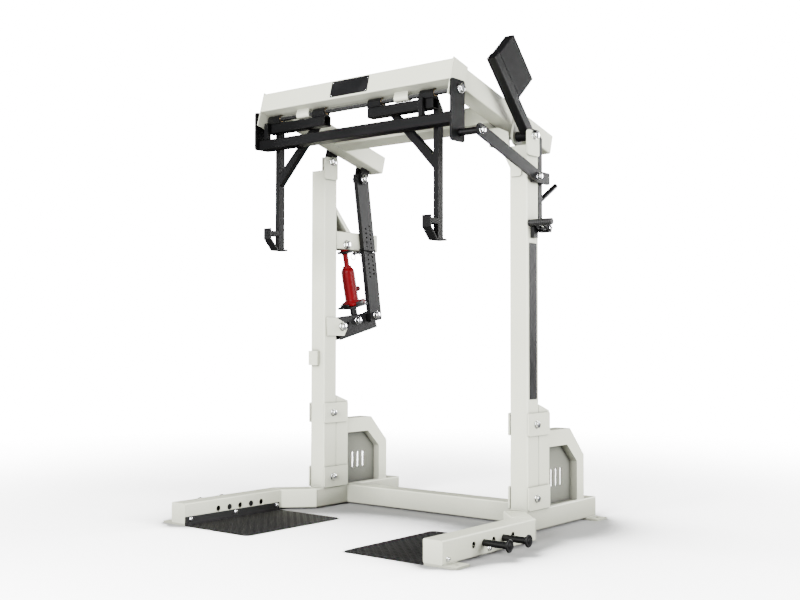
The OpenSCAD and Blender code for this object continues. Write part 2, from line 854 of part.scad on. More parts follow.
module beam_face_plate() {
  color(black) on_top_frame() translate([-6, -beam_front - 2.5, arm_rise + half_tube])
    along_y(0, 2.5) rounded_box(242, 84, 6);
}

hanger_r = 19.5;
hanger_len = 85;
module shaft_hanger(x) {
  along_x(x - hanger_len / 2, hanger_len) difference() {
    union() {
      translate([-shaft_fwd, shaft_t]) circle(r = hanger_r);
      translate([-shaft_fwd - hanger_r, shaft_t]) square([2 * hanger_r, shaft_drop]);
    }
    translate([-shaft_fwd, shaft_t]) circle(d = shaft_d + 2 * fit);
  }
}

module shaft_hangers() {
  color(white) on_top_frame() {
    shaft_hanger(left_hook_x + 47);
    shaft_hanger(right_hook_x + 6);
  }
}

pivot_lug_r = 44;
module pivot_lug() {
  on_top_frame() along_x(arm_out, lug_th) difference() {
    union() {
      circle(r = pivot_lug_r);
      translate([-pivot_lug_r, 0]) square([2 * pivot_lug_r, arm_rise + 68]);
    }
    circle(d = pivot_bolt + 2 * (fit + lug_bush_wall));
  }
}

// Left pivot lug and the two lugs that hold the lift link
module frame_lugs() {
  color(black) {
    mirror([1, 0, 0]) pivot_lug();
    on_top_frame() for (x = [-arm_out - ear_th, lift_link_x + lift_link_th + gap])
      along_x(x, ear_th) difference() {
        union() {
          translate([lift_pin_s, lift_pin_t]) circle(r = 32);
          translate([lift_pin_s - 32, lift_pin_t])
            square([64, (x < -arm_out ? 60 : 0) + arm_rise - lift_pin_t]);
        }
        translate([lift_pin_s, lift_pin_t]) circle(d = lift_link_bolt_d);
      }
  }
}

module right_pivot_lug() { color(white) pivot_lug(); }

lug_bush_wall = 3;
module lug_bushes() {
  color(bronze) both_sides() difference() {
    rod_x(arm_out, lug_out, pivot_y, pivot_z, pivot_bolt + 2 * (fit + lug_bush_wall));
    rod_x(arm_out - over, lug_out + over, pivot_y, pivot_z, pivot_bolt + 2 * fit);
  }
}

// Hook shaft and release frame

module hook_shaft() {
  washer = 4;
  head = 12;
  color(steel) {
    rod_x(-left_side_out - gap, side_out + gap, shaft_y, shaft_z, shaft_d);
    rod_x(-left_side_in + side_play / 2, -side_in, shaft_y, shaft_z, 44);
    rod_x(side_out + gap, side_out + gap + washer, shaft_y, shaft_z, 50);
    rod_x(-left_side_out - gap - washer, -left_side_out - gap, shaft_y, shaft_z, 50);
    translate([side_out + gap + washer, shaft_y, shaft_z]) rotate([0, 90, 0])
      cylinder(d = 42, h = head, $fn = 6);
    translate([-left_side_out - gap - washer, shaft_y, shaft_z]) rotate([0, -90, 0])
      cylinder(d = 42, h = head, $fn = 6);
  }
}

side_front = shaft_y - 71;
side_rear = shaft_y + 34;
module side_plate(x, low) {
  along_x(x, side_th) difference() {
    translate([(side_front + side_rear) / 2, (low + shaft_z + 38) / 2])
      rounded_box(side_rear - side_front, shaft_z + 38 - low, 12);
    translate([shaft_y, shaft_z]) circle(d = shaft_d + 2 * fit);
    if (low < front_link_z)
      translate([shaft_y, front_link_z]) circle(d = link_bolt);
  }
}

module release_side_plates() {
  color(black) {
    side_plate(side_in, front_link_z - 43);
    mirror([1, 0, 0]) side_plate(left_side_in, shaft_z + crossbar_top - crossbar_h);
  }
}

push_post = 25;
module release_crossbar() {
  depth = crossbar_rear - crossbar_front;
  color(black) {
    translate([0, shaft_y + (crossbar_front + crossbar_rear) / 2, shaft_z + crossbar_top - crossbar_h / 2])
      along_x(-left_side_in, left_side_in + side_in)
        tube_section(depth, crossbar_h, small_r, small_wall);
    for (x = [left_hook_x - hook_span / 2, 420])
      translate([x, shaft_y + crossbar_front - 3, shaft_z + crossbar_top])
        cube([push_post, push_post, 85]);
  }
}

link_bolt = 20;
module link_front_bolt() {
  color(steel) {
    bolt_x(side_in, link_out + gap, shaft_y, front_link_z, link_bolt);
    rod_x(side_out, link_in - gap, shaft_y, front_link_z, 34);
  }
}

rear_link_y = pivot_y;
link_len = norm([rear_link_y - shaft_y, rear_link_z - front_link_z]);
module release_link() {
  color(black) along_x(link_in, link_th) difference() {
    translate([(shaft_y + rear_link_y) / 2, (front_link_z + rear_link_z) / 2])
      rotate(atan2(rear_link_z - front_link_z, rear_link_y - shaft_y))
        rounded_box(link_len + link_h, link_h, link_h / 2 - 3);
    translate([shaft_y, front_link_z]) circle(d = link_bolt + 2 * fit);
    translate([rear_link_y, rear_link_z]) circle(d = link_bolt + 1);
  }
}

lever_bar_y = stub_y + 3;
lever_bar_rear = lever_bar_y + 36;
lever_bar_z = 1530;
hub_in = lug_out + gap;
hub_out = post_out - gap;
handle_z = 1608;
handle_rise = 31;
handle_len = 210;
module release_lever() {
  arm_x = hub_out - 14;
  tab_x = post_out + 3;
  color(black) difference() {
    union() {
      rod_x(hub_in, hub_out, pivot_y, pivot_z, 50);
      along_x(arm_x, 14) polygon([
        [pivot_y - 20, pivot_z - 30], [lever_bar_rear, pivot_z - 32],
        [lever_bar_rear, pivot_z - 9], [pivot_y + 38, pivot_z + 28], [pivot_y - 5, pivot_z + 32]
      ]);
      translate([arm_x - 28, lever_bar_y, lever_bar_z])
        cube([hub_out - arm_x + 28, lever_bar_rear - lever_bar_y, pivot_z - 9 - lever_bar_z]);
      along_x(tab_x, 14) translate([(pivot_y - 30 + lever_bar_rear + 42) / 2, rear_link_z])
        rounded_box(lever_bar_rear + 72 - pivot_y, 58, 8);
      along_x(hub_out - 2, tab_x - hub_out + 4)
        translate([lever_bar_y, rear_link_z - 29]) square([lever_bar_rear - lever_bar_y, 58]);
      translate([arm_x - 12, lever_bar_rear - 10, handle_z]) rotate([handle_rise - 90, 0, 0])
        cylinder(d = handle_d, h = handle_len);
    }
    on_weight_arm() translate([-weight_arm_w / 2 - gap / 2, -weight_arm_w / 2 - gap / 2, weight_arm_start])
      cube([weight_arm_w + gap, weight_arm_w + gap, 2 * weight_arm_w]);
    rod_x(hub_in - over, hub_out + over, pivot_y, pivot_z, pivot_bolt + 2 * fit);
    rod_x(tab_x - over, tab_x + 14 + over, rear_link_y, rear_link_z, link_bolt);
  }
}

// Puts its children on the counterweight arm, z counted along it from the pivot
module on_weight_arm() {
  translate([post_x + 25, pivot_y, pivot_z]) rotate([weight_lean, 0, 0]) children();
}

weight_arm_w = 50;
weight_arm_start = 25.5;
module counterweight_arm() {
  color(black) on_weight_arm() translate([0, 0, weight_arm_start + gap / 2]) difference() {
    linear_extrude(weight_arm - weight_arm_start) rounded_box(weight_arm_w, weight_arm_w, small_r);
    translate([0, 0, -over]) linear_extrude(weight_arm - weight_arm_start - small_wall + over)
      rounded_box(weight_arm_w - 2 * small_wall, weight_arm_w - 2 * small_wall, 1);
  }
}

module counterweight() {
  color(black) on_weight_arm()
    translate([-weight_arm_w / 2, weight_arm_w / 2, weight_arm - 5 - weight_len])
      cube([weight_arm_w, weight_w, weight_len]);
}

module link_rear_bolt() {
  color(steel) {
    rod_x(post_out + 3, link_out + gap, rear_link_y, rear_link_z, link_bolt - 2 * fit);
    rod_x(post_out + 17, link_in - gap, rear_link_y, rear_link_z, 34);
    rod_x(link_out + gap, link_out + gap + 3, rear_link_y, rear_link_z, 38);
    translate([link_out + gap + 3, rear_link_y, rear_link_z]) rotate([0, 90, 0])
      cylinder(d = 34, h = 13, $fn = 6);
  }
}

grip_y = post_y + 16;
grip_z = latch_z + 25;
grip_d = 32;

// Side of the latch: an eye on the bolt and an arm forward to the grip
module latch_cheek_outline() {
  eye_r = 20;
  translate([latch_y, latch_z]) circle(r = eye_r);
  translate([grip_y, grip_z]) circle(d = grip_d - 8);
  polygon([
    [latch_y, latch_z - eye_r], [latch_y, latch_z + eye_r], [grip_y, grip_z + 12],
    [grip_y, grip_z - 12]
  ]);
}

// As drawn the tooth is down and the lever is free; pushing the grip down locks it
tooth_back = 13;
module lock_latch() {
  tooth_y = lever_bar_rear + tooth_back;
  tooth_th = 12;
  web = 4;
  tooth_in = post_out - 36;
  color(black) difference() {
    union() {
      for (x = [latch_in, latch_out - latch_cheek]) along_x(x, latch_cheek) latch_cheek_outline();
      translate([latch_in, latch_y - 16, latch_z - 20]) cube([latch_out - latch_in, 32, web]);
      translate([tooth_in, tooth_y, latch_z + 6])
        cube([latch_in + latch_cheek - tooth_in, tooth_th, lever_bar_z - 3 - latch_z - 6]);
      along_x(latch_in, latch_cheek) translate([latch_y, latch_z - 4])
        square([tooth_y + tooth_th - latch_y, 24]);
      rod_x(post_out + 3, post_out + 128, grip_y, grip_z, grip_d);
    }
    rod_x(latch_in - over, latch_out + over, latch_y, latch_z, latch_bolt + 2 * fit);
  }
}

// Hooks, drawn about the shaft with the outer end towards +X

module at_hook(side) {
  translate([side > 0 ? right_hook_x : left_hook_x, shaft_y, shaft_z])
    mirror([side > 0 ? 0 : 1, 0, 0]) children();
}

module block_ends() {
  for (x = [-hook_span / 2, hook_span / 2 - block_len]) translate([x, 0, 0]) children();
}

module hook_bushes() {
  block_ends() difference() {
    rod_x(0, block_len, 0, 0, shaft_d + 2 * (fit + hook_bush_wall));
    rod_x(-over, block_len + over, 0, 0, shaft_d + 2 * fit);
  }
}

module hook_tube_part() {
  block_ends() along_x(0, block_len) difference() {
    union() {
      circle(r = block_top_r);
      translate([-block_half, weld_gap - block_drop]) square([2 * block_half, block_drop - weld_gap]);
    }
    circle(r = shaft_d / 2 + 2 * fit + hook_bush_wall);
  }
  translate([0, bar_front - hook_tube / 2, cross_tube_top - hook_tube / 2])
    along_x(-hook_span / 2, hook_span) tube_section(hook_tube, hook_tube, small_r, small_wall);
}

bar_x1 = hook_span / 2 - 7;
bar_x0 = bar_x1 - hook_bar_w;
bar_rear = bar_front + hook_bar_d;
brace_run = 262;
module hook_bar_part() {
  along_x(bar_x0, hook_bar_w) polygon([
    [bar_front, -14], [bar_rear, -70], [bar_rear, -hook_drop + jaw_th], [bar_front, -hook_drop + jaw_th]
  ]);
  translate([0, bar_front, 0]) along_y(0, hook_bar_d - 4) polygon([
    [bar_x0 + 2, -70 - brace_run - 20], [bar_x0 + 2, -30 - brace_run + 4],
    [bar_x0 - brace_run, -30], [bar_x0 - brace_run, -70]
  ]);
}

lip_front = bar_front - hook_throat - jaw_th;
seat_z = -hook_drop + 75;
module hook_jaw_part() {
  x = (bar_x0 + bar_x1) / 2 - jaw_w / 2;
  z0 = -hook_drop;
  along_x(x, jaw_w) polygon([
    [lip_front, z0 + lip_rise - 6], [lip_front + 2, z0 + lip_rise], [lip_front + jaw_th, z0 + lip_rise],
    [lip_front + jaw_th, z0 + 62], [bar_front - 18, z0 + jaw_th], [bar_rear + 15, z0 + jaw_th],
    [bar_rear + 15, z0], [bar_front - 22, z0], [lip_front, z0 + 59]
  ]);
  translate([x + 2, lip_front + jaw_th - 0.5, seat_z]) cube([jaw_w - 4, hook_throat + 0.5, 27]);
}

module left_hook_bushes() { color(bronze) at_hook(-1) hook_bushes(); }
module right_hook_bushes() { color(bronze) at_hook(1) hook_bushes(); }
module left_hook_tube() { color(black) at_hook(-1) hook_tube_part(); }
module right_hook_tube() { color(black) at_hook(1) hook_tube_part(); }
module left_hook_bar() { color(black) at_hook(-1) hook_bar_part(); }
module right_hook_bar() { color(black) at_hook(1) hook_bar_part(); }
module left_hook_jaw() { color(black) at_hook(-1) hook_jaw_part(); }
module right_hook_jaw() { color(black) at_hook(1) hook_jaw_part(); }

left_foot_tube();
right_foot_tube();
bend_tubes();
rear_tubes();
base_cross_tube();
anchor_plates();
tread_plates();
tread_plate_bolts();
band_pegs();
left_upright();
right_upright();
pivot_ears();
pivot_bracket();
pivot_bolts();
clamp_plates();
clamp_bolts();
stub_posts();
rear_hoops();
hoop_panels();
jack_bracket();
lift_lever_ears();
jack_ram();
latch_bracket();
upright_strip();
front_beam();
beam_end_plates();
frame_arms();
frame_crossmember();
beam_face_plate();
shaft_hangers();
frame_lugs();
right_pivot_lug();
lug_bushes();
link_top_bolt();
hook_shaft();
release_side_plates();
release_crossbar();
link_front_bolt();
release_link();
release_lever();
counterweight_arm();
counterweight();
link_rear_bolt();
lock_latch();
left_hook_bushes();
left_hook_tube();
left_hook_bar();
left_hook_jaw();
right_hook_bushes();
right_hook_tube();
right_hook_bar();
right_hook_jaw();
lift_lever();
lift_link();
lift_link_bolt();
hitch_pin();
jack_body();
jack_base();
pump_socket();
release_valve();
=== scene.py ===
import json
import math

import bmesh
import bpy
from mathutils import Matrix, Vector


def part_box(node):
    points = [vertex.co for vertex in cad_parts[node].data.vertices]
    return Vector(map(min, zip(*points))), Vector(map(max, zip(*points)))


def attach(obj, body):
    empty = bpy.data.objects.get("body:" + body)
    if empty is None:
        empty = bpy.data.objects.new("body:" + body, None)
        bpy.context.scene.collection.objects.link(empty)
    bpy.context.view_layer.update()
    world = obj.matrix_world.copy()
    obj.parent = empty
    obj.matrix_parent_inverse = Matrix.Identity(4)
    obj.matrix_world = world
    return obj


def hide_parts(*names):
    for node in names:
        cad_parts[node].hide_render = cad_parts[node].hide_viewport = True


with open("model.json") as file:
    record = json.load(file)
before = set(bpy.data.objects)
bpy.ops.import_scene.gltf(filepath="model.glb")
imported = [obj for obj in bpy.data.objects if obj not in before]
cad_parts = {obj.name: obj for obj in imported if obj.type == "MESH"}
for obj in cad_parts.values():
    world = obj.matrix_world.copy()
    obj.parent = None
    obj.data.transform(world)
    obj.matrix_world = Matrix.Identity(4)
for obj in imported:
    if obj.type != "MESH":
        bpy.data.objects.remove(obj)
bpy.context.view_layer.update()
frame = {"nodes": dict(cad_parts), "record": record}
nodes = frame["nodes"]


# Camera and studio

LENS, FILM_WIDTH = 49.80, 36.0
CAMERA_PLACE = (3.575, -4.448, 0.9457)
CAMERA_TURN = (91.94, -0.09, 38.71)


def make_camera():
    data = bpy.data.cameras.new("camera")
    data.lens = LENS
    data.sensor_width = FILM_WIDTH
    data.sensor_fit = "HORIZONTAL"
    data.clip_end = 60
    camera = bpy.data.objects.new("camera", data)
    bpy.context.scene.collection.objects.link(camera)
    camera.location = CAMERA_PLACE
    camera.rotation_euler = [math.radians(angle) for angle in CAMERA_TURN]
    bpy.context.scene.camera = camera


def area_light(name, place, target, size, power):
    data = bpy.data.lights.new(name, "AREA")
    data.shape = "RECTANGLE"
    data.size, data.size_y = size
    data.energy = power
    light = bpy.data.objects.new(name, data)
    bpy.context.scene.collection.objects.link(light)
    light.location = place
    light.rotation_euler = (Vector(target) - Vector(place)).to_track_quat("-Z", "Y").to_euler()


make_camera()


# Shader maths: a socket with operators, and one method for any other node

class Socket:
    """A node socket whose operators add Math nodes."""

    def __init__(self, tree, socket):
        self.tree = tree
        self.socket = socket

    def math(self, operation, *values):
        return self.tree.node("ShaderNodeMath", {"operation": operation}, *values)

    def __add__(self, other):
        return self.math("ADD", self, other)

    __radd__ = __add__

    def __sub__(self, other):
        return self.math("SUBTRACT", self, other)

    def __rsub__(self, other):
        return self.math("SUBTRACT", other, self)

    def __mul__(self, other):
        return self.math("MULTIPLY", self, other)

    __rmul__ = __mul__

    def step(self, low, high):
        """Smooth 0 to 1 as the value goes from low to high."""
        return self.tree.node(
            "ShaderNodeMapRange", {"interpolation_type": "SMOOTHSTEP"},
            Value=self, **{"From Min": low, "From Max": high})


class Finish:
    """A material under construction: its node tree and its main shader."""

    def __init__(self, name, owner=None):
        self.material = owner or bpy.data.materials.new(name)
        self.material.use_nodes = True
        self.nodes = self.material.node_tree.nodes
        self.links = self.material.node_tree.links
        self.shader = self.nodes["Background" if owner else "Principled BSDF"]

    def put(self, target, value):
        if isinstance(value, Socket):
            self.links.new(value.socket, target)
        else:
            target.default_value = value

    def node(self, kind, settings=None, *values, output=0, **named):
        made = self.nodes.new(kind)
        for key, value in (settings or {}).items():
            setattr(made, key, value)
        for index, value in enumerate(values):
            self.put(made.inputs[index], value)
        for key, value in named.items():
            self.put(made.inputs[key], value)
        return Socket(self, made.outputs[output])

    def place(self):
        return self.node("ShaderNodeTexCoord", output="Object")

    def noise(self, scale, detail, rough=0.55):
        return self.node("ShaderNodeTexNoise", {}, Vector=self.place(), Scale=scale,
                         Detail=detail, Roughness=rough)

    def mix(self, factor, first, second):
        made = self.nodes.new("ShaderNodeMix")
        made.data_type = "RGBA"
        self.put(made.inputs["Factor"], factor)
        for index, value in ((6, first), (7, second)):
            self.put(made.inputs[index], value)
        return Socket(self, made.outputs[2])

    def bevel(self, radius):
        return self.node("ShaderNodeBevel", {"samples": 4}, Radius=radius)

    def edges(self, radius):
        """1 along sharp edges, 0 on flat faces."""
        soft = self.bevel(radius)
        hard = self.node("ShaderNodeNewGeometry", output="Normal")
        same = self.node("ShaderNodeVectorMath", {"operation": "DOT_PRODUCT"}, soft, hard,
                         output="Value")
        return (1.0 - same).step(0.02, 0.22)

    def open_air(self, reach, samples=6):
        """1 where the surface is open, falling to 0 in seams, corners and recesses."""
        return self.node("ShaderNodeAmbientOcclusion", {"samples": samples}, Distance=reach,
                         output="AO")

    def bump(self, height, distance, strength, normal):
        return self.node("ShaderNodeBump", {}, Strength=strength, Distance=distance,
                         Height=height, Normal=normal)

    def surface(self, **sockets):
        for key, value in sockets.items():
            self.put(self.shader.inputs[key.replace("_", " ")], value)
        return self.material


def rgb(red, green, blue):
    return (red, green, blue, 1.0)


def grey(value):
    return rgb(value, value, value)


COAT_EDGE = 0.0012
# Bevel radius of the sharp edges that are darkened with painted shade
EDGE_SHADE_BEVEL = 0.0022
# Reach of the occlusion that paints shade into seams and nooks, and the strength and darkness of
# that painted shade
SEAM_REACH, NOOK_REACH, NOOK_SAMPLES = 0.03, 0.28, 8
SEAM_SHADE = 0.85
PAINTED_SHADE_DEPTH = 0.16


def powder_coat(name, tones, rough, grain=0.00022, nook_shade=0.75, edge_shade=0.0, shine=0.5):
    """Satin powder coat: fine orange peel, slight mottling, rubbed edges,
    and painted shade in seams, nooks and along sharp edges.

    tones holds the colour, the mottled shade and the worn colour; the nook amount sets how much
    shade is painted into nooks, and the edge amount darkens sharp edges with painted shade."""
    colour, shade, worn = tones
    f = Finish(name)
    broad = f.noise(2.6, 3.0)
    fine = f.noise(520.0, 3.0, 0.6)
    peel = f.noise(190.0, 2.0)
    rub = f.edges(COAT_EDGE) * f.noise(34.0, 5.0, 0.7).step(0.5, 0.72)
    base = f.mix(broad.step(0.3, 0.7), rgb(*colour), rgb(*shade))
    base = f.mix(fine.step(0.55, 0.8) * 0.12, base, rgb(*worn))
    base = f.mix(rub * 0.55, base, rgb(*worn))
    # Painted shade: seams and nooks are darkened towards a dark tone by ambient occlusion
    seam_shade_mask = 1.0 - f.open_air(SEAM_REACH).step(0.05, 0.75)
    nook_shade_mask = 1.0 - f.open_air(NOOK_REACH, NOOK_SAMPLES).step(0.4, 1.0)
    painted_shade_tone = rgb(*(c * PAINTED_SHADE_DEPTH for c in shade))
    base = f.mix(seam_shade_mask * SEAM_SHADE, base, painted_shade_tone)
    base = f.mix(nook_shade_mask * nook_shade, base, painted_shade_tone)
    # Painted shade along sharp edges
    base = f.mix(f.edges(EDGE_SHADE_BEVEL) * edge_shade, base, painted_shade_tone)
    smooth = f.bevel(COAT_EDGE)
    height = peel * 0.7 + fine * 0.3
    f.surface(Specular_IOR_Level=shine)
    return f.surface(Base_Color=base, Roughness=rough + broad * 0.08 + fine * 0.06 - rub * 0.1,
                     Normal=f.bump(height, grain, 0.8, smooth))


LATHE_SCALE = (2200.0, 60.0, 60.0)


def plated_steel(name, colour, dark, rough):
    """Turned metal, plated or oiled: faint lathe rings along X, and spangle; sharp edges and
    crevices are darkened with painted shade.
    """
    f = Finish(name)
    place = f.place()
    spangle = f.noise(140.0, 2.0)
    drawn = f.node("ShaderNodeVectorMath", {"operation": "MULTIPLY"}, place, LATHE_SCALE)
    marks = f.node("ShaderNodeTexNoise", {}, Vector=drawn, Scale=1.0, Detail=2.0)
    edge = f.edges(0.0008)
    base = f.mix(spangle.step(0.35, 0.7), rgb(*colour), rgb(*dark))
    # Painted shade on sharp edges and in crevices, for contrast on bolt heads
    base = f.mix(edge * 0.6, base, rgb(0.22, 0.22, 0.23))
    base = f.mix((1.0 - f.open_air(0.012).step(0.2, 0.9)) * 0.9, base, rgb(0.05, 0.05, 0.055))
    return f.surface(Base_Color=base, Metallic=1.0, Roughness=rough + spangle * 0.07 + marks * 0.05,
                     Normal=f.bump(marks, 0.00006, 0.5, f.bevel(0.0006)))


IVORY = ((0.75, 0.765, 0.62), (0.71, 0.725, 0.585), (0.60, 0.61, 0.54))
# Ivory darkened about threefold: painted shade for the hoops' recessed panels
IVORY_PAINTED_SHADE = ((0.225, 0.23, 0.19), (0.2, 0.205, 0.168), (0.45, 0.46, 0.4))
BLACK = ((0.0028, 0.0028, 0.003), (0.004, 0.004, 0.0043), (0.018, 0.018, 0.0185))
TREAD_BLACK = ((0.003, 0.003, 0.0032), (0.0045, 0.0045, 0.0048), (0.02, 0.02, 0.02))
RUBBER = ((0.010, 0.010, 0.010), (0.014, 0.014, 0.014), (0.03, 0.03, 0.03))
# How strongly sharp edges of the ivory are darkened with painted shade
IVORY_EDGE_SHADE = 0.45

ivory = powder_coat("ivory_powder_coat", IVORY, 0.38, edge_shade=IVORY_EDGE_SHADE)
# Copy of the ivory with less shade painted into its nooks, for the open tubes
ivory_less_shade = powder_coat("ivory_less_painted_shade", IVORY, 0.38, nook_shade=0.45, edge_shade=IVORY_EDGE_SHADE)
# Darker copy of the ivory: painted shade for the recessed hoop panels
ivory_shaded_panel = powder_coat("ivory_panel_painted_shade", IVORY_PAINTED_SHADE, 0.42, nook_shade=0.9,
                          edge_shade=IVORY_EDGE_SHADE)
black = powder_coat("black_powder_coat", BLACK, 0.34, shine=0.17)
weight_black = powder_coat("cast_weight_black", BLACK, 0.58, grain=0.0005, shine=0.16)
tread_black = powder_coat("tread_black", TREAD_BLACK, 0.55, shine=0.25)
rubber = powder_coat("grip_rubber", RUBBER, 0.6)
zinc = plated_steel("bright_zinc", (0.90, 0.905, 0.92), (0.74, 0.75, 0.77), 0.1)
shaft_steel = plated_steel("ground_shaft_steel", (0.46, 0.465, 0.47), (0.36, 0.365, 0.37), 0.2)
dark_steel = plated_steel("oiled_dark_steel", (0.085, 0.085, 0.088), (0.06, 0.06, 0.062), 0.24)
bronze = plated_steel("oiled_bronze", (0.55, 0.38, 0.18), (0.42, 0.28, 0.13), 0.34)


def jack_enamel():
    """Red enamel of low gloss, slightly sagged, thin on its edges."""
    f = Finish("jack_red_enamel")
    flow = f.noise(26.0, 3.0)
    edge = f.edges(0.0012) * f.noise(60.0, 4.0).step(0.5, 0.7)
    base = f.mix(flow.step(0.3, 0.7), rgb(0.112, 0.0016, 0.0036), rgb(0.09, 0.0013, 0.003))
    base = f.mix(edge * 0.5, base, rgb(0.12, 0.02, 0.02))
    f.surface(Base_Color=base, Roughness=0.36 + flow * 0.08,
              Normal=f.bump(flow, 0.0005, 0.5, f.bevel(0.001)))
    return f.surface(Coat_Weight=0.02, Coat_Roughness=0.12, Specular_IOR_Level=0.05)


def strip_film():
    """Matte black film with a fine leather grain."""
    f = Finish("black_strip_film")
    grain = f.node("ShaderNodeTexVoronoi", {"feature": "DISTANCE_TO_EDGE"}, Vector=f.place(),
                   Scale=420.0)
    dust = f.noise(9.0, 4.0)
    base = f.mix(dust.step(0.4, 0.75), rgb(0.005, 0.005, 0.0055), rgb(0.011, 0.011, 0.0115))
    f.surface(Specular_IOR_Level=0.17)
    return f.surface(Base_Color=base, Roughness=0.42 + dust * 0.1,
                     Normal=f.bump(grain, 0.0002, 0.4, f.bevel(0.0006)))


red = jack_enamel()
film = strip_film()
finish_of = {"white_paint": ivory, "black_paint": black, "tread_paint": tread_black,
             "zinc_steel": zinc, "bronze": bronze, "red_paint": red,
             "label_strip": film, "face_plate": film}
slot_of = {material.name: slot for slot, material in finish_of.items()}
slot_of[shaft_steel.name] = slot_of[dark_steel.name] = "zinc_steel"
slot_of[weight_black.name] = slot_of[rubber.name] = "black_paint"

# Nodes whose finish differs from that of their slot; the ivory copies differ in how much shade is
# painted into them
own_finish = dict.fromkeys(
    ("frame_arms", "front_beam", "frame_crossmember", "beam_end_plates",
     "left_foot_tube", "right_foot_tube", "bend_tubes"), ivory_less_shade)
own_finish.update(hook_shaft=shaft_steel, counterweight=weight_black, hoop_panels=ivory_shaded_panel)

for part in frame["record"]["subparts"]:
    material = own_finish.get(part["node"], finish_of[part["material_slot"]])
    slots = nodes[part["node"]].material_slots
    if slots:
        for slot in slots:
            slot.material = material
    else:
        nodes[part["node"]].data.materials.append(material)


# Mesh building, in millimetres

MM = 0.001

# Axes along X, as (y, z)
SHAFT = (-332.594, 2092.214)
PIVOT = (157.0, 1937.0)
TILT = math.radians(14.8)
LINK_TOP = (394.418, 1860.825)
LINK_LOW = (517.258, 1076.385)
LEVER_BASE = (244.118, 1006.255)
JACK_FOOT = (387.468, 1043.061)
JACK_TOP = (287.5, 1475.0)
LOCK = (186.6, 1478.0)
LINK_DROP = 205
FRONT_LINK_Z = SHAFT[1] - LINK_DROP
REAR_LINK_Z = PIVOT[1] - LINK_DROP

# Main tube, and faces of the stand measured from its middle
TUBE = 101.6
HALF = TUBE / 2
TUBE_CORNER = 6.0
POST_X, POST_IN, POST_OUT = 664.2, 613.4, 715.0
PLATE_IN, PLATE_OUT = 603.4, 725
FOOT_OUT = 853
TREAD_FACE = FOOT_OUT - TUBE - 5.5
BEHIND_POST_Y, BEHIND_STUB_Y = 206.4, 307.6
JACK_X = -634.4
LIFT_LINK_X = -584.4
ARM_RISE = 97.8

PIVOT_BOLT, CLAMP_BOLT, LINK_BOLT = 25, 19, 20
WELD_PITCH, WELD_RIPPLE = 4.0, 0.14
X = (1, 0, 0)
BACK_X = (-1, 0, 0)
ON_SIDE = Matrix(((0, 0, 1, 0), (1, 0, 0, 0), (0, 1, 0, 0), (0, 0, 0, 1)))


def circle(radius, count):
    return [(radius * math.cos(a), radius * math.sin(a))
            for a in (2 * math.pi * k / count for k in range(count))]


